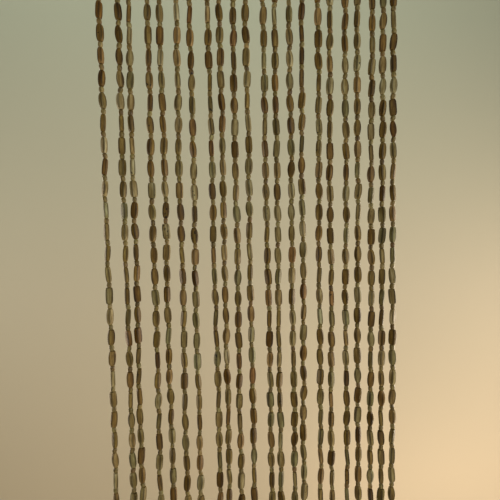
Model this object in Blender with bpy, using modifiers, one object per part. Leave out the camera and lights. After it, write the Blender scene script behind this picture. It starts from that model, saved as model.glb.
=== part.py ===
"""Bead curtain panel: wooden bead strings hanging from a folded cotton heading tape.

Units are metres, +Z is up. The origin is the middle of the heading's top edge.
X runs across the width, and the curtain is seen from -Y.
"""

import math
import random

import bmesh
import bpy
from mathutils import Matrix, Vector

MM = 0.001
COLLECTION_NAME = "bead_curtain"
CUTTER_COLLECTION_NAME = "bead_curtain_helpers"

# Heading: a cotton tape folded over a narrow strip of sewn-in cord ends
TAPE_HEIGHT = 22.0 * MM
TAPE_PLY = 1.2 * MM
TAPE_SIDE_MARGIN = 7.0 * MM
TAPE_FOLD_SEGMENTS = 8
STRIP_THICKNESS = 2.0 * MM
STRIP_TOP = -3.0 * MM
STRIP_INSET = 1.0 * MM
STRIP_SIDE_MARGIN = 4.0 * MM
PIECE_GAP = 0.3 * MM

# Beads: flat ovals, each followed by a small round spacer
BEADS_PER_STRING = 27
BEAD_HALF_WIDTH = 3.0 * MM
BEAD_HALF_DEPTH = 1.9 * MM
SPACER_HALF = 1.6 * MM
CORD_HALF = 0.7 * MM
ROOT_DEPTH = 2.0 * MM
KNOT_DROP = 8.0 * MM

# How unevenly the strings hang and their beads sit
SEED = 20
BEAD_SIZE_SPREAD = 0.05
BEAD_OFFSET = 0.3 * MM
SWAY_SIDEWAYS = 0.35 * MM
SWAY_DEPTH = 0.8 * MM
SWAY_LENGTH = 260.0 * MM

# One row a string, from the left, in millimetres
# gap: from the string before it, along the heading
# lean: how far it drifts to the right over LEAN_DROP
# first_bead: from the tape's lower edge down to the middle of its first oval bead
# pitch: one oval bead and one spacer
LEAN_DROP = 480.0 * MM
STRING_COLUMNS = ("gap", "lean", "first_bead", "pitch")
STRING_ROWS = (
    (0.0, 0.0, 16.4, 20.0),
    (16.7, -0.3, 17.4, 20.0),
    (9.9, -1.7, 19.7, 19.7),
    (16.4, -0.4, 17.9, 20.1),
    (11.7, -0.4, 19.2, 19.8),
    (14.5, -0.9, 17.3, 20.2),
    (12.7, -0.9, 20.3, 20.1),
    (15.9, 2.7, 20.2, 20.0),
    (11.0, 0.6, 17.9, 20.0),
    (12.3, 0.0, 20.8, 20.1),
    (11.8, 0.7, 17.3, 20.0),
    (15.5, 2.9, 20.5, 20.1),
    (11.1, 0.8, 20.6, 20.1),
    (13.5, 0.8, 18.7, 20.2),
    (11.5, -1.1, 16.7, 20.0),
    (15.5, -0.3, 21.2, 20.0),
    (10.7, 0.2, 23.8, 20.0),
    (14.9, -0.1, 24.9, 19.9),
    (11.3, 0.1, 22.8, 19.9),
    (14.0, -1.4, 26.6, 19.9),
    (10.5, -1.3, 24.3, 20.0),
    (9.8, 0.0, 23.6, 20.0),
)

# Colours are linear RGB
WOOD_COLOUR = (0.105, 0.062, 0.028, 1.0)
COTTON_COLOUR = (0.46, 0.37, 0.25, 1.0)


def remove_everything():
    for old in list(bpy.data.objects):
        bpy.data.objects.remove(old, do_unlink=True)


def new_collection(name):
    collection = bpy.data.collections.new(name)
    bpy.context.scene.collection.children.link(collection)
    return collection


def new_material(name, colour, roughness, metallic=0.0):
    material = bpy.data.materials.new(name)
    material.use_nodes = True
    shader = material.node_tree.nodes["Principled BSDF"]
    shader.inputs["Base Color"].default_value = colour
    shader.inputs["Roughness"].default_value = roughness
    shader.inputs["Metallic"].default_value = metallic
    return material


def mesh_object(name, bm, material, collection):
    mesh = bpy.data.meshes.new(name)
    bm.to_mesh(mesh)
    bm.free()
    mesh.materials.append(material)
    piece = bpy.data.objects.new(name, mesh)
    collection.objects.link(piece)
    return piece


def string_table():
    """The strings as dictionaries, with each root's x worked out from the gaps."""
    strings = []
    across = 0.0
    for row in STRING_ROWS:
        string = {key: value * MM for key, value in zip(STRING_COLUMNS, row)}
        across += string["gap"]
        string["root_x"] = across
        strings.append(string)
    for string in strings:
        string["root_x"] -= across / 2
    return strings


def hang_point(string, drop):
    """Where the cord's middle is, so far below the tape's lower edge."""
    turn = 2 * math.pi * drop / SWAY_LENGTH
    settle = min(1.0, drop / string["first_bead"])
    x = string["root_x"] + string["lean"] * drop / LEAN_DROP
    x += settle * SWAY_SIDEWAYS * math.sin(turn + string["sway_x"])
    y = settle * SWAY_DEPTH * math.sin(turn + string["sway_y"])
    return Vector((x, y, -TAPE_HEIGHT - drop))


def draw_beads(string, chance):
    """Each bead's own turn, shift and size, drawn in a fixed order."""
    string["sway_x"] = chance.uniform(0, 2 * math.pi)
    string["sway_y"] = chance.uniform(0, 2 * math.pi)
    beads = []
    for index in range(BEADS_PER_STRING):
        bead = {
            "drop": string["first_bead"] + index * string["pitch"],
            "turn": chance.uniform(-math.pi / 2, math.pi / 2),
            "shift_x": chance.uniform(-BEAD_OFFSET, BEAD_OFFSET),
            "shift_y": chance.uniform(-BEAD_OFFSET, BEAD_OFFSET),
            "size": 1 + chance.uniform(-BEAD_SIZE_SPREAD, BEAD_SIZE_SPREAD),
        }
        beads.append(bead)
    return beads


def nearest_quarter(turn):
    """A turn brought within an eighth of a circle of straight, for a square section."""
    quarter = math.pi / 2
    return turn - quarter * round(turn / quarter)


def section(middle, half_x, half_y, turn):
    """Four corners of a rectangle lying flat at the given point, in turning order."""
    corners = ((half_x, half_y), (-half_x, half_y), (-half_x, -half_y), (half_x, -half_y))
    spin = Matrix.Rotation(turn, 3, "Z")
    return [middle + spin @ Vector((x, y, 0)) for x, y in corners]


def bead_section(string, bead):
    """The widest section of an oval bead, kept in step with the square sections."""
    half_x = BEAD_HALF_WIDTH * bead["size"]
    half_y = BEAD_HALF_DEPTH * bead["size"]
    turn = nearest_quarter(bead["turn"])
    if abs(bead["turn"]) > math.pi / 4:
        half_x, half_y = half_y, half_x
    shift = Vector((bead["shift_x"], bead["shift_y"], 0))
    return section(hang_point(string, bead["drop"]) + shift, half_x, half_y, turn)


def string_sections(string, beads):
    """All sections of one string, from inside the strip down to its knot."""
    half_pitch = string["pitch"] / 2
    root = hang_point(string, 0.0)
    root.z += STRIP_INSET + ROOT_DEPTH
    sections = [section(root, CORD_HALF, CORD_HALF, 0.0)]
    first = hang_point(string, string["first_bead"] - half_pitch)
    sections.append(section(first, SPACER_HALF, SPACER_HALF, 0.0))
    for bead in beads:
        sections.append(bead_section(string, bead))
        below = hang_point(string, bead["drop"] + half_pitch)
        sections.append(section(below, SPACER_HALF, SPACER_HALF, 0.0))
    knot = hang_point(string, beads[-1]["drop"] + half_pitch + KNOT_DROP)
    sections.append(section(knot, CORD_HALF, CORD_HALF, 0.0))
    return sections


def loft(bm, sections):
    """A closed four-sided body through the sections, which run downwards."""
    rings = [[bm.verts.new(point) for point in ring] for ring in sections]
    for upper, lower in zip(rings, rings[1:]):
        for side in range(4):
            after = (side + 1) % 4
            bm.faces.new((upper[side], lower[side], lower[after], upper[after]))
    bm.faces.new(rings[0])
    bm.faces.new(reversed(rings[-1]))


def make_strip(strings, material, collection):
    """The narrow strip that the cord ends are sewn into."""
    width = strings[-1]["root_x"] - strings[0]["root_x"] + 2 * STRIP_SIDE_MARGIN
    height = TAPE_HEIGHT - STRIP_INSET + STRIP_TOP
    bm = bmesh.new()
    bmesh.ops.create_cube(bm, size=1.0)
    bmesh.ops.scale(bm, vec=(width, STRIP_THICKNESS, height), verts=bm.verts)
    bmesh.ops.translate(bm, vec=(0, 0, STRIP_TOP - height / 2), verts=bm.verts)
    return mesh_object("bead_strings", bm, material, collection)


def make_strings(strings, material, collection):
    """All strings as loose closed bodies, to be joined to the strip."""
    chance = random.Random(SEED)
    bm = bmesh.new()
    for string in strings:
        beads = draw_beads(string, chance)
        loft(bm, string_sections(string, beads))
    bmesh.ops.recalc_face_normals(bm, faces=bm.faces)
    strands = mesh_object("string_lofts", bm, material, collection)
    strands.hide_render = True
    strands.display_type = "WIRE"
    return strands


def join_to_strip(strip, strands):
    union = strip.modifiers.new("sewn_in", "BOOLEAN")
    union.operation = "UNION"
    union.object = strands


def tape_path():
    """The folded tape's middle line, in Y and Z, from the front edge over to the back."""
    radius = STRIP_THICKNESS / 2 + PIECE_GAP + TAPE_PLY / 2
    fold_z = -radius - TAPE_PLY / 2
    points = [(-radius, -TAPE_HEIGHT)]
    for step in range(TAPE_FOLD_SEGMENTS + 1):
        angle = math.pi * (1 - step / TAPE_FOLD_SEGMENTS)
        points.append((radius * math.cos(angle), fold_z + radius * math.sin(angle)))
    points.append((radius, -TAPE_HEIGHT))
    return points


def make_tape(strings, material, collection):
    """The heading: one strip of cloth folded lengthwise over the cord ends."""
    half_width = strings[-1]["root_x"] + TAPE_SIDE_MARGIN
    bm = bmesh.new()
    left = [bm.verts.new((-half_width, y, z)) for y, z in tape_path()]
    edges = [bm.edges.new(pair) for pair in zip(left, left[1:])]
    swept = bmesh.ops.extrude_edge_only(bm, edges=edges)
    right = [item for item in swept["geom"] if isinstance(item, bmesh.types.BMVert)]
    bmesh.ops.translate(bm, vec=(2 * half_width, 0, 0), verts=right)
    bmesh.ops.recalc_face_normals(bm, faces=bm.faces)
    tape = mesh_object("heading_tape", bm, material, collection)
    thickness = tape.modifiers.new("cloth", "SOLIDIFY")
    thickness.thickness = TAPE_PLY
    thickness.offset = 0.0
    thickness.use_even_offset = True
    return tape


def build():
    remove_everything()
    collection = new_collection(COLLECTION_NAME)
    helpers = new_collection(CUTTER_COLLECTION_NAME)
    wood = new_material("stained_wood", WOOD_COLOUR, 0.5)
    cotton = new_material("cotton_tape", COTTON_COLOUR, 0.9)
    strings = string_table()
    make_tape(strings, cotton, collection)
    strip = make_strip(strings, wood, collection)
    strands = make_strings(strings, wood, helpers)
    join_to_strip(strip, strands)


build()
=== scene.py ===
"""Bead curtain panel: flat oval wooden beads and small spacers on cords, sewn into a folded cotton tape.

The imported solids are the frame. Everything is in metres, with the origin at the middle of the tape's
top edge, +Z up and X across the width. The camera looks along +Y.
"""

import math
import random

import bpy
import numpy as np
from mathutils import Matrix, Vector


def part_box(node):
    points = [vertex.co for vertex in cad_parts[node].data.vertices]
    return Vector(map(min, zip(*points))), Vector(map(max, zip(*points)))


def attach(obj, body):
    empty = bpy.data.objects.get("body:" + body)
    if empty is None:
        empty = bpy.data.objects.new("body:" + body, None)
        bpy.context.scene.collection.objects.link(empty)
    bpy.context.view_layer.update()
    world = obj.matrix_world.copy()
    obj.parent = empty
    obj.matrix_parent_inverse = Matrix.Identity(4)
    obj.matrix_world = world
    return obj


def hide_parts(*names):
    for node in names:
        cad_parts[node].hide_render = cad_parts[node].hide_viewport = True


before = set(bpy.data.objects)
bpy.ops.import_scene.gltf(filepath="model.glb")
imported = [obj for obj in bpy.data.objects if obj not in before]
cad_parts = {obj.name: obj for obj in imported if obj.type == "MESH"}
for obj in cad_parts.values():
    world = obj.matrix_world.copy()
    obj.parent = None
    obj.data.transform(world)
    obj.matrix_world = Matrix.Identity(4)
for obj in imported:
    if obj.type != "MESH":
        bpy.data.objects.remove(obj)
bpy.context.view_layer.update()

MM = 0.001
UP = Vector((0, 0, 1))
TAPE_LOW, TAPE_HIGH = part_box("heading_tape")
_, STRINGS_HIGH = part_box("bead_strings")
TAPE_EDGE_Z = TAPE_LOW.z
TAPE_HALF_WIDTH = (TAPE_HIGH.x - TAPE_LOW.x) / 2
TAPE_HALF_DEPTH = (TAPE_HIGH.y - TAPE_LOW.y) / 2

# How the strings hang, as in the solids: one row a string, from the left, in millimetres
# gap: from the string before it, along the heading
# lean: how far it drifts to the right over LEAN_DROP
# first_bead: from the tape's lower edge down to the middle of its first oval bead
# pitch: one oval bead and one spacer
LEAN_DROP = 480.0 * MM
STRING_COLUMNS = ("gap", "lean", "first_bead", "pitch")
STRING_ROWS = (
    (0.0, 0.0, 16.4, 20.0),
    (16.7, -0.3, 17.4, 20.0),
    (9.9, -1.7, 19.7, 19.7),
    (16.4, -0.4, 17.9, 20.1),
    (11.7, -0.4, 19.2, 19.8),
    (14.5, -0.9, 17.3, 20.2),
    (12.7, -0.9, 20.3, 20.1),
    (15.9, 2.7, 20.2, 20.0),
    (11.0, 0.6, 17.9, 20.0),
    (12.3, 0.0, 20.8, 20.1),
    (11.8, 0.7, 17.3, 20.0),
    (15.5, 2.9, 20.5, 20.1),
    (11.1, 0.8, 20.6, 20.1),
    (13.5, 0.8, 18.7, 20.2),
    (11.5, -1.1, 16.7, 20.0),
    (15.5, -0.3, 21.2, 20.0),
    (10.7, 0.2, 23.8, 20.0),
    (14.9, -0.1, 24.9, 19.9),
    (11.3, 0.1, 22.8, 19.9),
    (14.0, -1.4, 26.6, 19.9),
    (10.5, -1.3, 24.3, 20.0),
    (9.8, 0.0, 23.6, 20.0),
)
BEADS_PER_STRING = 27
SEED = 20
BEAD_SIZE_SPREAD = 0.05
BEAD_OFFSET = 0.3 * MM
SWAY_SIDEWAYS = 0.35 * MM
SWAY_DEPTH = 0.8 * MM
SWAY_LENGTH = 260.0 * MM

# Oval beads: a flat slab with a barrel outline
# stations, here and for the spacers: how many sections lie between the two rims
OVAL_LENGTH = 14.7 * MM
OVAL_LENGTH_SPREAD = 0.35 * MM
OVAL_HALF_WIDTH = 3.16 * MM
OVAL_HALF_DEPTH = 2.05 * MM
OVAL_END_DEPTH = 1.83 * MM
OVAL_CROWN = 0.12 * MM
OVAL_CORNER = 0.55 * MM
OVAL_END_CORNER = 1.0 * MM
OVAL_STATIONS = 11
OVAL_TILT = math.radians(5.5)

# Outlines of the ovals, each with its half width at the ends and its share of the beads
# onset: the higher, the nearer to its ends the bead begins to narrow
# taper: the lower, the fuller it stays on the way
OUTLINE_COLUMNS = ("end_width", "onset", "taper", "share")
OUTLINES = (
    (2.1 * MM, 2.4, 0.75, 0.4),
    (1.7 * MM, 1.9, 0.85, 0.26),
    (2.6 * MM, 3.3, 0.7, 0.34),
)
OVAL_EDGE_ONSET = 4

# Spacer beads: small round barrels
SPACER_LENGTH = 5.0 * MM
SPACER_HALF_WIDTH = 2.28 * MM
SPACER_END_WIDTH = 1.8 * MM
SPACER_ONSET = 2
SPACER_TAPER = 0.7
SPACER_SPREAD = 0.07
SPACER_STATIONS = 5
BEAD_CLEARANCE = 0.08 * MM

# Both kinds are drilled and have a softened rim. The bore is darkened by painted shade, and its mouth by
# part of it.
# Every section has as many points as SIDES, which leaves a flat bead these steps for each rounded corner.
SIDES = 20
CORNER_STEPS = SIDES // 4 - 2
RIM = 0.3 * MM
BORE_HALF = 0.7 * MM
BORE_CHAMFER = 0.18 * MM
BORE_MOUTH_SHADE_SHARE = 0.6

# Cords: a core through the beads, and two twisted plies where a cord shows
CORD_CORE = 0.42 * MM
PLY_RADIUS = 0.3 * MM
PLY_ORBIT = 0.26 * MM
PLY_TWIST_LENGTH = 2.6 * MM
PLY_STEP = 0.35 * MM
PLY_SIDES = 6
FEWEST_PLY_STEPS = 4
CORD_INTO_TAPE = 6.0 * MM
CORD_INTO_BEAD = 1.2 * MM

# End knots: lobes, squeezed together and pulled tight through each other, then a short tail
KNOT_SIZE = 0.62 * MM
KNOT_SQUEEZE = 0.75
KNOT_THROUGH = 1.3
KNOT_RADIUS = 1.7 * PLY_RADIUS
KNOT_STEPS = 48
KNOT_SIDES = 8
KNOT_BELOW_SPACER = 1.5 * MM
TAIL_LENGTH = 4.0 * MM
TAIL_LENGTH_RANGE = (0.75, 1.1)


def string_table():
    """The strings as dictionaries in metres, with each root's x worked out from the gaps."""
    strings = []
    across = 0.0
    for row in STRING_ROWS:
        string = {key: value * MM for key, value in zip(STRING_COLUMNS, row)}
        across += string["gap"]
        string["root_x"] = across
        strings.append(string)
    for string in strings:
        string["root_x"] -= across / 2
    return strings


def hang_point(string, drop):
    """Where the cord's middle is, so far below the tape's lower edge."""
    turn = 2 * math.pi * drop / SWAY_LENGTH
    settle = max(0.0, min(1.0, drop / string["first_bead"]))
    x = string["root_x"] + string["lean"] * drop / LEAN_DROP
    x += settle * SWAY_SIDEWAYS * math.sin(turn + string["sway_x"])
    y = settle * SWAY_DEPTH * math.sin(turn + string["sway_y"])
    return Vector((x, y, TAPE_EDGE_Z - drop))


def draw_beads(string, chance):
    """Each bead's own turn, shift and size, and the string's sway, drawn in the order of the solids."""
    string["sway_x"] = chance.uniform(0, 2 * math.pi)
    string["sway_y"] = chance.uniform(0, 2 * math.pi)
    beads = []
    for index in range(BEADS_PER_STRING):
        bead = {
            "drop": string["first_bead"] + index * string["pitch"],
            "turn": chance.uniform(-math.pi / 2, math.pi / 2),
            "shift_x": chance.uniform(-BEAD_OFFSET, BEAD_OFFSET),
            "shift_y": chance.uniform(-BEAD_OFFSET, BEAD_OFFSET),
            "size": 1 + chance.uniform(-BEAD_SIZE_SPREAD, BEAD_SIZE_SPREAD),
        }
        beads.append(bead)
    return beads


# Finishes

class Value:
    """A node's output that takes arithmetic: numbers through Math nodes, colours through Vector Math."""

    def __init__(self, finish, output):
        self.finish = finish
        self.output = output

    def calculate(self, operation, first, second):
        """One node that works on the two operands. A number beside a colour counts for each channel."""
        operands = (first, second)
        kind = "ShaderNodeMath"
        if not all(is_number(item) for item in operands):
            kind = "ShaderNodeVectorMath"
            operands = [(item,) * 3 if isinstance(item, (int, float)) else item for item in operands]
        return self.finish.node(kind, {"operation": operation}, dict(enumerate(operands)))

    def __add__(self, other):
        return self.calculate("ADD", self, other)

    def __radd__(self, other):
        return self.calculate("ADD", other, self)

    def __sub__(self, other):
        return self.calculate("SUBTRACT", self, other)

    def __rsub__(self, other):
        return self.calculate("SUBTRACT", other, self)

    def __mul__(self, other):
        return self.calculate("MULTIPLY", self, other)

    def __rmul__(self, other):
        return self.calculate("MULTIPLY", other, self)

    def __pow__(self, other):
        return self.calculate("POWER", self, other)


def is_number(item):
    """Whether an operand is a number or a node's number, not a colour or a vector."""
    if isinstance(item, Value):
        return item.output.type == "VALUE"
    return not isinstance(item, tuple)


class Finish:
    """A material being built: its nodes, and the Principled shader that they feed."""

    def __init__(self, name):
        self.material = bpy.data.materials.new(name)
        self.material.use_nodes = True
        self.tree = self.material.node_tree
        self.shader = self.tree.nodes["Principled BSDF"]

    def node(self, kind, settings=None, inputs=None, output=0):
        """Adds a node, makes its settings, fills its inputs and gives back one of its outputs."""
        node = self.tree.nodes.new(kind)
        for key, value in (settings or {}).items():
            if key == "stops":
                self.set_stops(node.color_ramp, value)
            else:
                setattr(node, key, value)
        self.fill(node, inputs or {})
        return Value(self, node.outputs[output])

    def set_stops(self, ramp, stops):
        """A ramp's stops, as pairs of place and colour."""
        while len(ramp.elements) < len(stops):
            ramp.elements.new(1.0)
        for element, (place, colour) in zip(ramp.elements, stops):
            element.position = place
            element.color = colour

    def fill(self, node, inputs):
        """Links values to a node's sockets, and sets the sockets that get a constant."""
        for key, value in inputs.items():
            if isinstance(value, Value):
                self.tree.links.new(value.output, node.inputs[key])
            else:
                node.inputs[key].default_value = value

    def attribute(self, name, output="Fac"):
        return self.node("ShaderNodeAttribute", {"attribute_name": name}, output=output)

    def object_place(self):
        return self.node("ShaderNodeTexCoord", output="Object")

    def axis(self, vector, name):
        """One axis of a vector, as a number."""
        return self.node("ShaderNodeSeparateXYZ", inputs={"Vector": vector}, output=name)

    def sine(self, value):
        return self.node("ShaderNodeMath", {"operation": "SINE"}, {0: value})

    def noise(self, place, scale, detail=2.0, roughness=0.5):
        inputs = {"Vector": place, "Scale": scale, "Detail": detail, "Roughness": roughness}
        return self.node("ShaderNodeTexNoise", inputs=inputs, output="Fac")

    def ramp(self, value, stops):
        return self.node("ShaderNodeValToRGB", {"stops": stops}, {"Fac": value}, "Color")

    def number_ramp(self, value, low, high, to_low=0.0, to_high=1.0):
        """A number taken smoothly from one range to another."""
        settings = {"interpolation_type": "SMOOTHSTEP"}
        inputs = {"Value": value, "From Min": low, "From Max": high, "To Min": to_low, "To Max": to_high}
        return self.node("ShaderNodeMapRange", settings, inputs, "Result")

    def mix(self, factor, first, second):
        """One colour turned into another by a factor. A Mix node's colour sockets go by number."""
        settings = {"data_type": "RGBA"}
        return self.node("ShaderNodeMix", settings, {0: factor, 6: first, 7: second}, 2)

    def bump(self, height, distance, strength):
        inputs = {"Height": height, "Distance": distance, "Strength": strength}
        return self.node("ShaderNodeBump", inputs=inputs, output="Normal")


def paint(red, green, blue):
    """A colour given as screen levels from 0 to 255, in linear light by the usual screen curve."""
    def linear(level):
        share = level / 255
        return share / 12.92 if share <= 0.04045 else ((share + 0.055) / 1.055) ** 2.4
    return (linear(red), linear(green), linear(blue), 1.0)


# Stains of the wood, each with its share of the beads
OVAL_STAINS = (
    (paint(73, 53, 15), 0.18),
    (paint(86, 67, 28), 0.22),
    (paint(98, 82, 46), 0.23),
    (paint(105, 92, 58), 0.13),
    (paint(110, 98, 66), 0.06),
    (paint(96, 73, 38), 0.05),
    (paint(92, 83, 50), 0.13),
)
SPACER_STAINS = (
    (paint(85, 70, 30), 0.3),
    (paint(92, 78, 38), 0.4),
    (paint(99, 86, 48), 0.2),
    (paint(84, 66, 30), 0.1),
)

# Dark wood is redder and less blue than pale wood: red, green and blue follow the tone by these powers
TONE_POWERS = (0.82, 1.0, 1.5)

# Patterns of the wood run along the bead: how much of their scale is left in that direction
STREAK_RUN = 0.09
BAND_RUN = 0.22
PORE_RUN = 0.16

# How much darker each of these is than the wood round it: pores and knots in the wood itself, the bore by
# painted shade, and the corners by stain gathered there and painted shade
PORE_DARK = 0.38
KNOT_DARK = 0.88
BORE_SHADE = 0.8
ARRIS_STAIN_AND_SHADE = 0.54

# How much each pattern roughens the shine, and how high or deep it stands
STREAK_DULL = 0.16
PORE_DULL = 0.14
STREAK_RELIEF = 0.5
FIBRE_RELIEF = 0.35
PORE_RELIEF = 0.6

# Cotton: the dark and the pale fibres of the cords, and of the webbing
CORD_COTTON = (paint(84, 66, 42), paint(128, 106, 74))
WEBBING_COTTON = (paint(170, 150, 116), paint(206, 190, 156))

# The webbing's yarns in millimetres, and how much of the slubs' scale is left along the tape
YARN_PITCH = 0.85
SLUB_RUN = 0.12


def stained_wood(name, dullness, gloss):
    """Turned wood under a thin satin stain, with its grain along the bead."""
    finish = Finish(name)
    place = finish.attribute("grain", "Vector")
    arris = finish.number_ramp(finish.attribute("arris"), low=0.45, high=0.95)

    streak_place = place * (1.0, 1.0, STREAK_RUN)
    streaks = finish.noise(streak_place, scale=0.9, detail=3.0, roughness=0.6)
    fibres = finish.noise(streak_place, scale=3.4, roughness=0.7)
    bands = finish.noise(place * (1.0, 1.0, BAND_RUN), scale=0.36, detail=1.0)
    pores = finish.noise(place * (1.0, 1.0, PORE_RUN), scale=2.3, detail=1.0)
    pores = finish.number_ramp(pores, low=0.63, high=0.72)
    knots = finish.noise(place, scale=0.42, detail=0.0)
    knots = finish.number_ramp(knots, low=0.72, high=0.745) * finish.attribute("knotty")

    tone = finish.number_ramp(streaks, low=0.3, high=0.72, to_low=0.66, to_high=1.28)
    tone = tone * finish.number_ramp(fibres, low=0.25, high=0.75, to_low=0.86, to_high=1.12)
    tone = tone * finish.number_ramp(bands, low=0.28, high=0.72, to_low=0.7, to_high=1.32)
    # The wood's figure across and along the bead, with painted light and shade on its narrow sides
    tone = tone * (1 + finish.attribute("figure"))
    # Pores and knots darken the wood itself; the bore is darkened by painted shade, and the corners by
    # stain gathered there and painted shade
    shade = (1 - PORE_DARK * pores) * (1 - KNOT_DARK * knots)
    shade = shade * (1 - BORE_SHADE * finish.attribute("bore")) * (1 - ARRIS_STAIN_AND_SHADE * arris)

    height = STREAK_RELIEF * streaks + FIBRE_RELIEF * fibres - PORE_RELIEF * pores
    finish.fill(finish.shader, {
        "Base Color": finish.attribute("stain", "Color") * tone ** TONE_POWERS * shade,
        "Roughness": dullness + STREAK_DULL * streaks + PORE_DULL * pores,
        "Normal": finish.bump(height, distance=0.07 * MM, strength=0.8),
        "Specular IOR Level": gloss,
    })
    return finish.material


def dark_cotton(name):
    """Dark polished cotton, for the cords, their ends in the tape and the sewing thread."""
    finish = Finish(name)
    fuzz = finish.noise(finish.object_place(), scale=2400.0)
    finish.fill(finish.shader, {
        "Base Color": finish.mix(fuzz, *CORD_COTTON),
        "Roughness": 0.72,
        "Normal": finish.bump(fuzz, distance=0.06 * MM, strength=0.7),
    })
    return finish.material


def woven_cotton(name):
    """Natural cotton webbing in plain weave, with uneven yarns."""
    finish = Finish(name)
    place = finish.attribute("weave", "Vector")
    warp = finish.sine(finish.axis(place, "X") * (2 * math.pi / YARN_PITCH))
    weft = finish.sine(finish.axis(place, "Y") * (2 * math.pi / YARN_PITCH))
    over = warp * weft
    slubs = finish.noise(place * (SLUB_RUN, 1.0, 1.0), scale=1.2, detail=3.0)
    dust = finish.noise(place, scale=0.05)
    shade = finish.number_ramp(over, low=-1.0, high=1.0, to_low=0.84, to_high=1.06)
    shade = shade * finish.number_ramp(dust, low=0.3, high=0.7, to_low=0.93, to_high=1.04)
    finish.fill(finish.shader, {
        "Base Color": finish.mix(slubs, *WEBBING_COTTON) * shade,
        "Roughness": 0.9,
        "Normal": finish.bump(0.5 * over + 0.5 * slubs, distance=0.22 * MM, strength=0.9),
        "Sheen Weight": 0.25,
    })
    return finish.material


# Meshes and pieces

# Where a piece's faces meet more sharply than this, the edge stays crisp
CRISP_EDGE = math.radians(50.0)


def make_mesh(name, points, faces):
    mesh = bpy.data.meshes.new(name)
    mesh.from_pydata(points, [], faces)
    mesh.update()
    return mesh


def joined_mesh(name, shapes):
    """One mesh of many shapes, each given as its points and its faces."""
    points, faces = [], []
    for shape_points, shape_faces in shapes:
        offset = len(points)
        points.extend(tuple(point) for point in shape_points)
        faces.extend(tuple(index + offset for index in face) for face in shape_faces)
    return make_mesh(name, points, faces)


def add_attribute(mesh, name, kind, field, values):
    layer = mesh.attributes.new(name, kind, "POINT")
    layer.data.foreach_set(field, np.ascontiguousarray(values, dtype=np.float32).ravel())


def make_piece(name, mesh, material, replaced):
    """A shown piece that rides with the part and stands for a solid."""
    mesh.materials.append(material)
    mesh.shade_smooth()
    mesh.set_sharp_from_angle(angle=CRISP_EDGE)
    piece = bpy.data.objects.new(name, mesh)
    bpy.context.scene.collection.objects.link(piece)
    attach(piece, "root")
    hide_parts(replaced)
    return piece


# Beads as grids of points

def round_section(half):
    """Points round a circle."""
    angle = np.arange(SIDES) * 2 * math.pi / SIDES
    return half * np.stack((np.cos(angle), np.sin(angle)), axis=1)


def slab_section(half_x, half_y, corner, crown):
    """Points round a rectangle with rounded corners and slightly crowned faces."""
    quarter = [(half_x + crown, 0.0)]
    for step in range(CORNER_STEPS + 1):
        angle = math.pi / 2 * step / CORNER_STEPS
        x = half_x - corner + corner * math.cos(angle)
        y = half_y - corner + corner * math.sin(angle)
        quarter.append((x, y))
    left = [(-x, y) for x, y in reversed(quarter[1:])]
    upper = [*quarter, (0.0, half_y + crown), *left]
    lower = [(-x, -y) for x, y in upper]
    return np.array(upper + lower)


def narrow_sides():
    """1 on the points of a slab's two narrow sides and 0 on its broad faces, turning at the corners."""
    quarter = [1.0] + [1 - step / CORNER_STEPS for step in range(CORNER_STEPS + 1)]
    half = quarter + [0.0] + quarter[:0:-1]
    return np.array(half + half)


def swelling(share, onset, taper=1.0):
    """From 1 at a bead's middle to 0 at its end, for a share of the way between them."""
    return (1 - share ** onset) ** taper


def oval_section(outline):
    """A flat bead's section: it swells on its broad face and stays nearly parallel on edge."""
    def section(share):
        swell = swelling(share, outline["onset"], outline["taper"])
        edge_swell = swelling(share, OVAL_EDGE_ONSET)
        width = outline["end_width"] + (OVAL_HALF_WIDTH - outline["end_width"]) * swell
        depth = OVAL_END_DEPTH + (OVAL_HALF_DEPTH - OVAL_END_DEPTH) * edge_swell
        corner = OVAL_END_CORNER + (OVAL_CORNER - OVAL_END_CORNER) * edge_swell
        return slab_section(width, depth, corner, OVAL_CROWN)
    return section


def spacer_section(share):
    """A small round barrel's section."""
    swell = swelling(share, SPACER_ONSET, SPACER_TAPER)
    return round_section(SPACER_END_WIDTH + (SPACER_HALF_WIDTH - SPACER_END_WIDTH) * swell)


def bead_form(length, section, end_half, stations, sides):
    """One drilled bead round Z, as rings of points that close on themselves through its bore.

    section gives the points round the bead at a share of the way from its middle to its end,
    end_half is its half width there, which the softened rim narrows, and sides marks the narrow sides.
    Beside its points it says how much painted shade the bore gives each of them, and which lie on the
    narrow sides.
    """
    half = length / 2
    rings = []
    for step in range(stations):
        share = math.sin(math.pi / 2 * (1 - 2 * step / (stations - 1)))
        rings.append((share * (half - RIM), section(abs(share)), 0.0))
    foot = (
        (-half, section(1.0) * (1 - RIM / end_half), 0.0),
        (-half, round_section(BORE_HALF + BORE_CHAMFER), BORE_MOUTH_SHADE_SHARE),
        (-half + BORE_CHAMFER, round_section(BORE_HALF), 1.0),
    )
    head = [(-z, points, dark) for z, points, dark in reversed(foot)]
    rings += [*foot, *head]
    return {
        "points": np.array([np.column_stack((flat, np.full(SIDES, z))) for z, flat, _ in rings]),
        "bore": np.repeat([dark for _, _, dark in rings], SIDES),
        "narrow_sides": np.tile(sides, len(rings)),
    }


def oval_forms():
    """The forms of the oval beads, each with its share."""
    forms = []
    for row in OUTLINES:
        outline = dict(zip(OUTLINE_COLUMNS, row))
        section, end_half = oval_section(outline), outline["end_width"]
        form = bead_form(OVAL_LENGTH, section, end_half, OVAL_STATIONS, narrow_sides())
        forms.append((form, outline["share"]))
    return forms


def spacer_forms():
    """The spacers' one form, with its share."""
    form = bead_form(SPACER_LENGTH, spacer_section, SPACER_END_WIDTH, SPACER_STATIONS, np.zeros(SIDES))
    return [(form, 1.0)]


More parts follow.
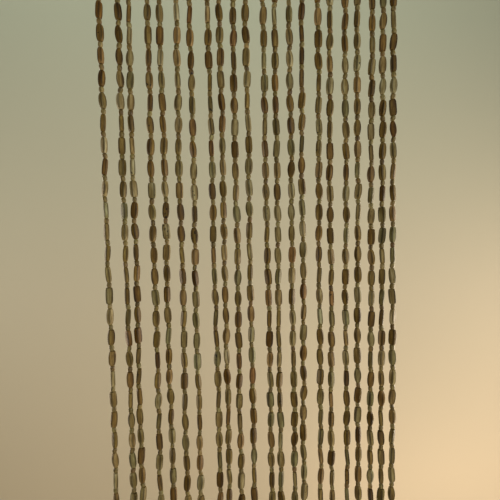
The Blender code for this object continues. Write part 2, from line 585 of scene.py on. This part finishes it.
def grid_faces(rings, around):
    """Quads of a grid that closes on itself both ways, facing out."""
    ring = np.arange(rings)[:, None] * around
    ring_after = (np.arange(rings)[:, None] + 1) % rings * around
    side = np.arange(around)[None, :]
    side_after = (side + 1) % around
    quads = np.stack((ring + side, ring_after + side, ring_after + side_after, ring + side_after), axis=2)
    return quads.reshape(-1, 4)


# How much of its cell a bead's map leaves free on each side
MAP_MARGIN = 0.03


def grid_map(points, column, row, columns, rows):
    """A face-corner map that lays one bead's grid flat in its own cell of a square."""
    rings, around = points.shape[:2]
    ahead = np.roll(points, -1, axis=0) - points
    steps = np.linalg.norm(ahead, axis=2).mean(axis=1)
    along = np.concatenate(((0.0,), np.cumsum(steps))) / steps.sum()
    across = np.arange(around + 1) / around
    u = (column + MAP_MARGIN + across * (1 - 2 * MAP_MARGIN)) / columns
    v = (row + MAP_MARGIN + along * (1 - 2 * MAP_MARGIN)) / rows
    near, far = slice(None, -1), slice(1, None)
    corners = np.empty((rings, around, 4, 2))
    for number, (across_end, along_end) in enumerate(((near, near), (near, far), (far, far), (far, near))):
        corners[:, :, number, 0] = u[None, across_end]
        corners[:, :, number, 1] = v[along_end, None]
    return corners.reshape(-1, 2)


# How the tone of one bead's wood changes from side to side and from end to end, as spreads, and the
# painted light and shade that makes its narrow sides lighter or darker than its broad faces, as a middle
# value, a spread and the limits
FIGURE_ACROSS = 0.24
FIGURE_ALONG = 0.05
SIDE_LIGHT_AND_SHADE = (0.04, 0.42)
SIDE_LIGHT_AND_SHADE_RANGE = (-0.5, 0.48)
# The darkest that the figure and the narrow sides' painted shade together may make the wood
DARKEST_FIGURE_AND_SIDE_LIGHT = -0.48

# How a bead's stain differs from the next bead's: lighter or darker, and warmer or cooler
STAIN_LEVEL_RANGE = (0.92, 1.09)
WARMTH_SPREAD = 0.055
COOLEST = -0.05
BLUE_LOST_TO_WARMTH = 0.3

# Few beads have a knot, and the dark corners, stain gathered there with painted shade, reach further for a
# higher ARRIS_REACH. Each bead is cut from its own place in a block of wood, whose extent is in
# millimetres.
KNOTTY_SHARE = 0.07
ARRIS_REACH = 1.6
WOOD_EXTENT = 400

# What the points of a bead tell its finish, with the kind and the field of each attribute
BEAD_ATTRIBUTES = {
    "stain": ("FLOAT_COLOR", "color"),
    "grain": ("FLOAT_VECTOR", "vector"),
    # bore: how much painted shade darkens each point in the bore and at its mouth
    "bore": ("FLOAT", "value"),
    "arris": ("FLOAT", "value"),
    "figure": ("FLOAT", "value"),
    "knotty": ("FLOAT", "value"),
}


def pick_stain(stains, chance):
    """One stain by its share, a little lighter or darker than the next bead's."""
    colours, shares = zip(*stains)
    colour = chance.choices(colours, shares)[0]
    level = chance.uniform(*STAIN_LEVEL_RANGE)
    warmth = max(chance.gauss(0, WARMTH_SPREAD), COOLEST)
    red, green, blue = (channel * level ** power for channel, power in zip(colour, TONE_POWERS))
    return (red * (1 + warmth), green, blue * (1 - BLUE_LOST_TO_WARMTH * warmth), 1.0)


def one_bead(form, placement, stains, chance):
    """One bead's points in place, and what they tell its finish.

    A placement is a middle, a rotation and the scales across, through and along the bead.
    """
    middle, spin, scales = placement
    flat = form["points"].reshape(-1, 3)
    reach = flat / np.abs(flat).max(axis=0)
    corners = np.abs(reach[:, 0] * reach[:, 1])
    across, along = chance.gauss(0, FIGURE_ACROSS), chance.gauss(0, FIGURE_ALONG)
    # The narrow sides get painted light and shade: on each bead they are lighter or darker than the broad
    # faces
    side = min(max(chance.gauss(*SIDE_LIGHT_AND_SHADE), SIDE_LIGHT_AND_SHADE_RANGE[0]), SIDE_LIGHT_AND_SHADE_RANGE[1])
    figure = reach[:, 0] * across + reach[:, 2] * along + side * form["narrow_sides"]
    knotty = float(chance.random() < KNOTTY_SHARE)
    stain = pick_stain(stains, chance)
    wood_place = np.array([chance.uniform(0, WOOD_EXTENT) for _ in range(3)])
    shape = flat * np.array(scales)
    return {
        "points": shape @ np.array(spin).T + np.array(middle),
        "stain": np.tile(stain, (len(flat), 1)),
        "grain": shape / MM + wood_place,
        "bore": form["bore"],
        "arris": np.clip(corners * ARRIS_REACH, 0, 1),
        "figure": np.maximum(figure, DARKEST_FIGURE_AND_SIDE_LIGHT),
        "knotty": np.full(len(flat), knotty),
    }


def beads_mesh(name, forms, placements, stains, chance):
    """All beads of one kind on one string, as one mesh. forms pairs each form with its share."""
    columns = math.ceil(math.sqrt(len(placements) * 2))
    rows = math.ceil(len(placements) / columns)
    beads, faces, maps = [], [], []
    for index, placement in enumerate(placements):
        form = chance.choices(*zip(*forms))[0]
        rings, around = form["points"].shape[:2]
        beads.append(one_bead(form, placement, stains, chance))
        faces.append(grid_faces(rings, around) + index * rings * around)
        maps.append(grid_map(form["points"], index % columns, index // columns, columns, rows))
    together = {key: np.concatenate([bead[key] for bead in beads]) for key in beads[0]}
    mesh = make_mesh(name, together["points"].tolist(), np.concatenate(faces).tolist())
    for key, (kind, field) in BEAD_ATTRIBUTES.items():
        add_attribute(mesh, key, kind, field, together[key])
    layer = mesh.uv_layers.new(name="OFBake")
    layer.data.foreach_set("uv", np.concatenate(maps).astype(np.float32).ravel())
    return mesh


def turned_to(along):
    """The rotation that takes Z to a direction."""
    return UP.rotation_difference(along.normalized()).to_matrix()


def tilted(chance, most):
    """A small rotation away from upright."""
    about_x = Matrix.Rotation(chance.uniform(-most, most), 3, "X")
    about_y = Matrix.Rotation(chance.uniform(-most, most), 3, "Y")
    return about_x @ about_y


def place_ovals(string, beads, chance):
    """Each oval bead's middle, rotation and scales. The ends of its bore go into the bead's row."""
    placements = []
    for bead in beads:
        drop = bead["drop"]
        middle = hang_point(string, drop) + Vector((bead["shift_x"], bead["shift_y"], 0))
        length = OVAL_LENGTH + chance.uniform(-OVAL_LENGTH_SPREAD, OVAL_LENGTH_SPREAD)
        cord_run = hang_point(string, drop - length / 2) - hang_point(string, drop + length / 2)
        spin = turned_to(cord_run) @ tilted(chance, OVAL_TILT)
        half_bore = spin @ Vector((0, 0, length / 2))
        bead["bore_top"] = middle + half_bore
        bead["bore_foot"] = middle - half_bore
        spin = spin @ Matrix.Rotation(bead["turn"], 3, "Z")
        placements.append((middle, spin, (bead["size"], bead["size"], length / OVAL_LENGTH)))
    return placements


def spacer_gaps(string, beads):
    """The runs of cord that the spacers fill: above the first oval, between each two, below the last."""
    length = string["pitch"] - OVAL_LENGTH
    first, last = beads[0], beads[-1]
    above = hang_point(string, first["drop"] - OVAL_LENGTH / 2 - length)
    below = hang_point(string, last["drop"] + OVAL_LENGTH / 2 + length)
    tops = [above] + [bead["bore_foot"] for bead in beads]
    feet = [bead["bore_top"] for bead in beads] + [below]
    return list(zip(tops, feet))


def place_spacers(gaps, chance):
    """Each spacer's middle, rotation and scales, in line with the bores above and below it."""
    placements = []
    for top, foot in gaps:
        cord_run = top - foot
        lean = cord_run.angle(UP)
        length = cord_run.length - 2 * BEAD_CLEARANCE - SPACER_END_WIDTH * math.sin(lean)
        spin = turned_to(cord_run) @ Matrix.Rotation(chance.uniform(0, math.pi), 3, "Z")
        size = 1 + chance.uniform(-SPACER_SPREAD, SPACER_SPREAD)
        placements.append(((top + foot) / 2, spin, (size, size, length / SPACER_LENGTH)))
    return placements


# Cords and knots

def tube(route, radius, sides, closed=False):
    """A tube along a route, as its points and its faces. An open one has flat ends."""
    count = len(route)
    points, faces = [], []
    normal = None
    for index, middle in enumerate(route):
        if closed:
            along = route[(index + 1) % count] - route[index - 1]
        else:
            along = route[min(index + 1, count - 1)] - route[max(index - 1, 0)]
        along.normalize()
        if normal is None:
            normal = along.orthogonal()
        normal = (normal - along * normal.dot(along)).normalized()
        side = along.cross(normal)
        for step in range(sides):
            angle = 2 * math.pi * step / sides
            points.append(middle + radius * (math.cos(angle) * normal + math.sin(angle) * side))
    for ring in range(count if closed else count - 1):
        start = ring * sides
        start_after = (ring + 1) % count * sides
        for step in range(sides):
            step_after = (step + 1) % sides
            faces.append((start + step, start + step_after, start_after + step_after, start_after + step))
    if not closed:
        faces.append(tuple(reversed(range(sides))))
        faces.append(tuple(range((count - 1) * sides, count * sides)))
    return points, faces


def twisted_pair(string, start, end, chance):
    """Two plies that wind round the cord's line between two drops."""
    steps = max(FEWEST_PLY_STEPS, round((end - start) / PLY_STEP))
    first_turn = chance.uniform(0, 2 * math.pi)
    for ply in range(2):
        route = []
        for step in range(steps + 1):
            drop = start + (end - start) * step / steps
            angle = first_turn + math.pi * ply + 2 * math.pi * (drop - start) / PLY_TWIST_LENGTH
            away = Vector((math.cos(angle), math.sin(angle), 0)) * PLY_ORBIT
            route.append(hang_point(string, drop) + away)
        yield tube(route, PLY_RADIUS, PLY_SIDES)


def overhand_knot(middle, chance):
    """A small tight knot, from the curve of a three-lobed knot."""
    turn = Matrix.Rotation(chance.uniform(0, 2 * math.pi), 3, "Z")
    route = []
    for step in range(KNOT_STEPS):
        angle = 2 * math.pi * step / KNOT_STEPS
        x = math.sin(angle) + 2 * math.sin(2 * angle)
        y = -KNOT_THROUGH * math.sin(3 * angle)
        z = math.cos(angle) - 2 * math.cos(2 * angle)
        lobe = Vector((x * KNOT_SQUEEZE, y, z * KNOT_SQUEEZE)) * KNOT_SIZE
        route.append(middle + turn @ lobe)
    return tube(route, KNOT_RADIUS, KNOT_SIDES, closed=True)


def cord_shapes(strings, chance):
    """Every cord: a core through the beads, twisted plies where it shows, a knot and a tail."""
    for string in strings:
        route = string["cord_route"]
        yield tube(route, CORD_CORE, PLY_SIDES)
        top = TAPE_EDGE_Z - route[0].z
        foot = TAPE_EDGE_Z - route[-1].z
        knot_drop = foot + KNOT_BELOW_SPACER
        tail_drop = knot_drop + TAIL_LENGTH * chance.uniform(*TAIL_LENGTH_RANGE)
        yield from twisted_pair(string, -CORD_INTO_TAPE, top + CORD_INTO_BEAD, chance)
        yield from twisted_pair(string, foot - CORD_INTO_BEAD, knot_drop, chance)
        yield from twisted_pair(string, knot_drop, tail_drop, chance)
        yield overhand_knot(hang_point(string, knot_drop), chance)


def make_strings():
    """All strings with their beads, then their cords."""
    satin_wood = stained_wood("satin_wood", dullness=0.42, gloss=0.14)
    polished_wood = stained_wood("polished_wood", dullness=0.32, gloss=0.27)
    cord = dark_cotton("cotton_cord")
    chance = random.Random(SEED)
    looks = random.Random(SEED + 1)
    ovals, spacers = oval_forms(), spacer_forms()
    strings = string_table()
    for number, string in enumerate(strings, start=1):
        # chance draws what the solids have too, and looks draws what only shows here
        beads = draw_beads(string, chance)
        name = f"string_{number:02d}_oval_beads"
        mesh = beads_mesh(name, ovals, place_ovals(string, beads, looks), OVAL_STAINS, looks)
        make_piece(name, mesh, satin_wood, "bead_strings")
        gaps = spacer_gaps(string, beads)
        string["cord_route"] = [point for gap in gaps for point in gap]
        name = f"string_{number:02d}_spacers"
        mesh = beads_mesh(name, spacers, place_spacers(gaps, looks), SPACER_STAINS, looks)
        make_piece(name, mesh, polished_wood, "bead_strings")
    mesh = joined_mesh("string_cords", cord_shapes(strings, looks))
    make_piece("string_cords", mesh, cord, "bead_strings")


# Cord ends: a close row of them between the tape's two plies
CORD_END_PITCH = 2.0 * MM
CORD_END_HALF = 0.98 * MM
CORD_END_SIDES = 8
CORD_END_STEPS = 4
CORD_END_INSET = 1.0 * MM


def make_cord_row():
    """The cord ends, laid side by side between the tape's two plies."""
    half_width = STRINGS_HIGH.x
    run = STRINGS_HIGH.z - TAPE_EDGE_Z - CORD_END_INSET
    count = round(2 * half_width / CORD_END_PITCH)
    shapes = []
    for index in range(count + 1):
        x = -half_width + CORD_END_PITCH / 2 + (2 * half_width - CORD_END_PITCH) * index / count
        heights = [STRINGS_HIGH.z - step * run / CORD_END_STEPS for step in range(CORD_END_STEPS + 1)]
        shapes.append(tube([Vector((x, 0, z)) for z in heights], CORD_END_HALF, CORD_END_SIDES))
    mesh = joined_mesh("cord_ends", shapes)
    make_piece("cord_ends", mesh, dark_cotton("cord_ends"), "bead_strings")


# Heading: the cloth, with a faint pucker at each stitch and a slow wave along its lower edge
# Each of its faces lies a little inside the solid's ply
TAPE_PLY = 1.2 * MM
CLOTH_INSET = 0.15 * MM
CLOTH_CELL = 1.0 * MM
FOLD_STEPS = 8
PUCKER = 0.12 * MM
WAVE = 0.1 * MM
WAVE_LENGTH = 47.0 * MM

# Stitches, on both faces: a row along the lower part and one along the upper, and one down each end
# A stitch is a low arc of thread, and this share of its rise is sunk in the cloth at its ends
THREAD_RADIUS = 0.24 * MM
THREAD_SIDES = 6
STITCH_PITCH = 3.2 * MM
STITCH_LENGTH = 2.7 * MM
STITCH_RISE = 0.22 * MM
STITCH_SUNK_SHARE = 0.6
STITCH_STEPS = 6
STITCH_ROW_UP = 3.0 * MM
STITCH_ROW_TOP = 15.5 * MM
STITCH_END_IN = 3.5 * MM


def tape_path():
    """The folded tape's middle line in Y and Z, from the front edge over to the back."""
    radius = TAPE_HALF_DEPTH - TAPE_PLY / 2
    fold_z = TAPE_HIGH.z - TAPE_PLY / 2 - radius
    rise = fold_z - TAPE_EDGE_Z
    flat_steps = round(rise / CLOTH_CELL)
    front = [(-radius, TAPE_EDGE_Z + rise * step / flat_steps) for step in range(flat_steps)]
    fold = []
    for step in range(FOLD_STEPS + 1):
        angle = math.pi * (1 - step / FOLD_STEPS)
        fold.append((radius * math.cos(angle), fold_z + radius * math.sin(angle)))
    back = [(radius, z) for _, z in reversed(front)]
    return front + fold + back


def make_tape():
    """The heading cloth, one strip folded lengthwise, and its size when it lies flat."""
    path = tape_path()
    columns = round(2 * TAPE_HALF_WIDTH / CLOTH_CELL)
    points, weave, faces = [], [], []
    travelled = 0.0
    for index, (y, z) in enumerate(path):
        if index:
            travelled += math.dist(path[index - 1], path[index])
        hang = (TAPE_HIGH.z - z) / (TAPE_HIGH.z - TAPE_EDGE_Z)
        for column in range(columns + 1):
            x = -TAPE_HALF_WIDTH + 2 * TAPE_HALF_WIDTH * column / columns
            pucker = PUCKER * math.sin(2 * math.pi * x / STITCH_PITCH) * hang
            wave = WAVE * math.sin(2 * math.pi * x / WAVE_LENGTH) * hang
            points.append((x, y + pucker + wave, z))
            weave.append((x / MM, travelled / MM, 0.0))
    for row in range(len(path) - 1):
        for column in range(columns):
            near = row * (columns + 1) + column
            far = near + columns + 1
            faces.append((near, near + 1, far + 1, far))
    mesh = make_mesh("heading_cloth", points, faces)
    add_attribute(mesh, "weave", "FLOAT_VECTOR", "vector", weave)
    cloth = make_piece("heading_cloth", mesh, woven_cotton("cotton_webbing"), "heading_tape")
    thickness = cloth.modifiers.new("thickness", "SOLIDIFY")
    thickness.thickness = TAPE_PLY - 2 * CLOTH_INSET
    thickness.offset = 0.0
    return cloth, (2 * TAPE_HALF_WIDTH, travelled)


def stitch(middle, along, outward):
    """One short run of thread that rises out of the cloth and sinks back."""
    route = []
    for step in range(STITCH_STEPS + 1):
        share = 2 * step / STITCH_STEPS - 1
        rise = (1 - share ** 2) * STITCH_RISE
        height = rise - STITCH_RISE * STITCH_SUNK_SHARE
        route.append(middle + along * share * STITCH_LENGTH / 2 + outward * height)
    return tube(route, THREAD_RADIUS, THREAD_SIDES)


def stitch_places():
    """Each stitch's middle and direction, on the plane between the tape's two faces."""
    low = TAPE_EDGE_Z + STITCH_ROW_UP
    high = TAPE_EDGE_Z + STITCH_ROW_TOP
    end_x = TAPE_HALF_WIDTH - STITCH_END_IN
    count = round((2 * TAPE_HALF_WIDTH - 2 * STITCH_END_IN) / STITCH_PITCH)
    upright_count = round((high - low) / STITCH_PITCH)
    places = []
    for row_z in (low, high):
        for index in range(count):
            x = -TAPE_HALF_WIDTH + STITCH_END_IN + (index + 0.5) * STITCH_PITCH
            places.append((Vector((x, 0, row_z)), Vector((1, 0, 0))))
    for side in (-1, 1):
        for index in range(upright_count):
            z = low + (index + 0.5) * (high - low) / upright_count
            places.append((Vector((side * end_x, 0, z)), UP))
    return places


def make_stitches():
    """The stitches on both faces of the tape."""
    shapes = []
    for middle, along in stitch_places():
        for outward in (Vector((0, -1, 0)), Vector((0, 1, 0))):
            shapes.append(stitch(middle + outward * TAPE_HALF_DEPTH, along, outward))
    mesh = joined_mesh("heading_stitches", shapes)
    return make_piece("heading_stitches", mesh, dark_cotton("sewing_thread"), "heading_tape")


# Surroundings: a plain floor and wall, with painted light on the wall: its tone at some heights, darker
# and greener towards the top and warmer lower down
FLOOR_Z = -2.0
WALL_Y = 1.6
WALL_TOP_Z = 2.5
COVE_RADIUS = 0.25
COVE_STEPS = 16
STAGE_HALF_WIDTH = 8.0
FLOOR_FRONT_Y = -8.0
FLOOR_TONE = paint(218, 212, 199)
WALL_PAINT_AND_LIGHT = (
    (-1.6, paint(198, 184, 161)),
    (-0.6, paint(190, 181, 162)),
    (0.8, paint(163, 168, 153)),
)

# Light colours, and how strongly the room lights everything from all round
WARM = (1.0, 0.92, 0.76)
LOW_WARM = (1.0, 0.87, 0.7)
AMBER = (1.0, 0.82, 0.64)
HIGH_PALE = (0.945, 0.945, 0.805)
ROOM_LIGHT = 0.19

# Soft rectangular lights, in metres and watts, each facing its target
CURTAIN_MIDDLE = (0.0, 0.0, -0.28)
LIGHT_COLUMNS = ("name", "place", "target", "width", "height", "power", "colour")
LIGHTS = (
    ("right_rim", (1.5, 0.68, -0.7), (0.55, -1.1, -0.28), 0.6, 1.2, 35.0, LOW_WARM),
    ("left_rim", (-1.55, 0.62, -0.5), (-0.55, -1.1, -0.28), 0.6, 1.2, 26.0, LOW_WARM),
    ("right_key", (1.56, -0.9, -0.05), CURTAIN_MIDDLE, 0.7, 1.2, 22.5, HIGH_PALE),
    ("front_soft", (-0.3, -1.85, 0.25), CURTAIN_MIDDLE, 1.8, 1.8, 16.5, HIGH_PALE),
    ("front_low", (0.3, -1.5, -1.4), CURTAIN_MIDDLE, 1.2, 1.2, 15.0, LOW_WARM),
    ("wall_from_above", (-0.4, 0.7, 1.9), (-0.4, 1.6, -0.5), 3.0, 0.4, 20.0, HIGH_PALE),
    ("wall_from_left", (-1.9, 0.7, -0.35), (-0.6, 1.6, -0.35), 0.5, 0.8, 3.0, HIGH_PALE),
    ("wall_from_right", (1.9, 0.7, -0.8), (0.6, 1.6, -0.8), 0.8, 1.2, 8.6, AMBER),
    ("wall_from_below", (1.2, 0.9, -1.9), (1.2, 1.6, -0.6), 1.4, 0.4, 6.5, AMBER),
)


def backdrop_paint_and_light():
    """Matt paint: one tone on the floor, then the wall's tones by height, which paint the fall of light on
    it.
    """
    finish = Finish("backdrop_paint_and_light")
    top_z = WALL_PAINT_AND_LIGHT[-1][0]
    tones = ((FLOOR_Z, FLOOR_TONE), (FLOOR_Z + COVE_RADIUS, WALL_PAINT_AND_LIGHT[0][1]), *WALL_PAINT_AND_LIGHT)
    stops = [((z - FLOOR_Z) / (top_z - FLOOR_Z), colour) for z, colour in tones]
    inputs = {"Value": finish.axis(finish.object_place(), "Z"), "From Min": FLOOR_Z, "From Max": top_z}
    height = finish.node("ShaderNodeMapRange", inputs=inputs, output="Result")
    finish.fill(finish.shader, {"Base Color": finish.ramp(height, stops), "Roughness": 0.95})
    return finish.material


def make_backdrop():
    """A plain pale floor that curves up into a plain wall."""
    path = [(FLOOR_FRONT_Y, FLOOR_Z), (WALL_Y - COVE_RADIUS, FLOOR_Z)]
    for step in range(1, COVE_STEPS + 1):
        angle = math.pi / 2 * step / COVE_STEPS
        y = WALL_Y - COVE_RADIUS + COVE_RADIUS * math.sin(angle)
        path.append((y, FLOOR_Z + COVE_RADIUS - COVE_RADIUS * math.cos(angle)))
    path.append((WALL_Y, WALL_TOP_Z))
    count = len(path)
    points = [(side, y, z) for side in (-STAGE_HALF_WIDTH, STAGE_HALF_WIDTH) for y, z in path]
    faces = [(index, index + 1, count + index + 1, count + index) for index in range(count - 1)]
    mesh = make_mesh("backdrop", points, faces)
    mesh.shade_smooth()
    mesh.materials.append(backdrop_paint_and_light())
    backdrop = bpy.data.objects.new("backdrop", mesh)
    bpy.context.scene.collection.objects.link(backdrop)


def add_light(name, place, target, width, height, power, colour):
    """A soft rectangular light that faces a point."""
    data = bpy.data.lights.new(name, "AREA")
    data.shape = "RECTANGLE"
    data.size = width
    data.size_y = height
    data.energy = power
    data.color = colour
    light = bpy.data.objects.new(name, data)
    light.location = place
    light.rotation_euler = (Vector(target) - Vector(place)).to_track_quat("-Z", "Y").to_euler()
    bpy.context.scene.collection.objects.link(light)


def make_lights():
    """The soft lights, and a faint warm light from all round."""
    for row in LIGHTS:
        add_light(**dict(zip(LIGHT_COLUMNS, row)))
    world = bpy.data.worlds.new("room_light")
    world.use_nodes = True
    background = world.node_tree.nodes["Background"]
    background.inputs["Color"].default_value = (*WARM, 1.0)
    background.inputs["Strength"].default_value = ROOM_LIGHT
    bpy.context.scene.world = world


# Camera: its place and turn fitted to how the strings converge and space out in the photo
FOCAL_PIXELS = 385.0
FRAME_PIXELS = 500.0
SENSOR_WIDTH = 36.0
NEAREST_SEEN = 0.01
CAMERA_PLACE = (-17.6 * MM, -365.3 * MM, -257.5 * MM)
CAMERA_RIGHTWARD = math.radians(2.4)
CAMERA_DOWNWARD = math.radians(3.2)
CAMERA_ROLL = math.radians(-0.96)


def make_camera():
    """The camera, a little left of the curtain's middle, turned slightly to the right and down."""
    data = bpy.data.cameras.new("camera")
    data.sensor_width = SENSOR_WIDTH
    data.lens = SENSOR_WIDTH * FOCAL_PIXELS / FRAME_PIXELS
    data.clip_start = NEAREST_SEEN
    camera = bpy.data.objects.new("camera", data)
    turn = Matrix.Rotation(-CAMERA_RIGHTWARD, 4, "Z")
    tip = Matrix.Rotation(math.pi / 2 - CAMERA_DOWNWARD, 4, "X")
    roll = Matrix.Rotation(CAMERA_ROLL, 4, "Z")
    camera.matrix_world = Matrix.Translation(CAMERA_PLACE) @ turn @ tip @ roll
    bpy.context.scene.collection.objects.link(camera)
    bpy.context.scene.camera = camera


make_camera()
make_strings()
make_cord_row()
cloth, flat_size = make_tape()
stitches = make_stitches()
make_backdrop()
make_lights()
bpy.context.scene.view_settings.view_transform = "Standard"
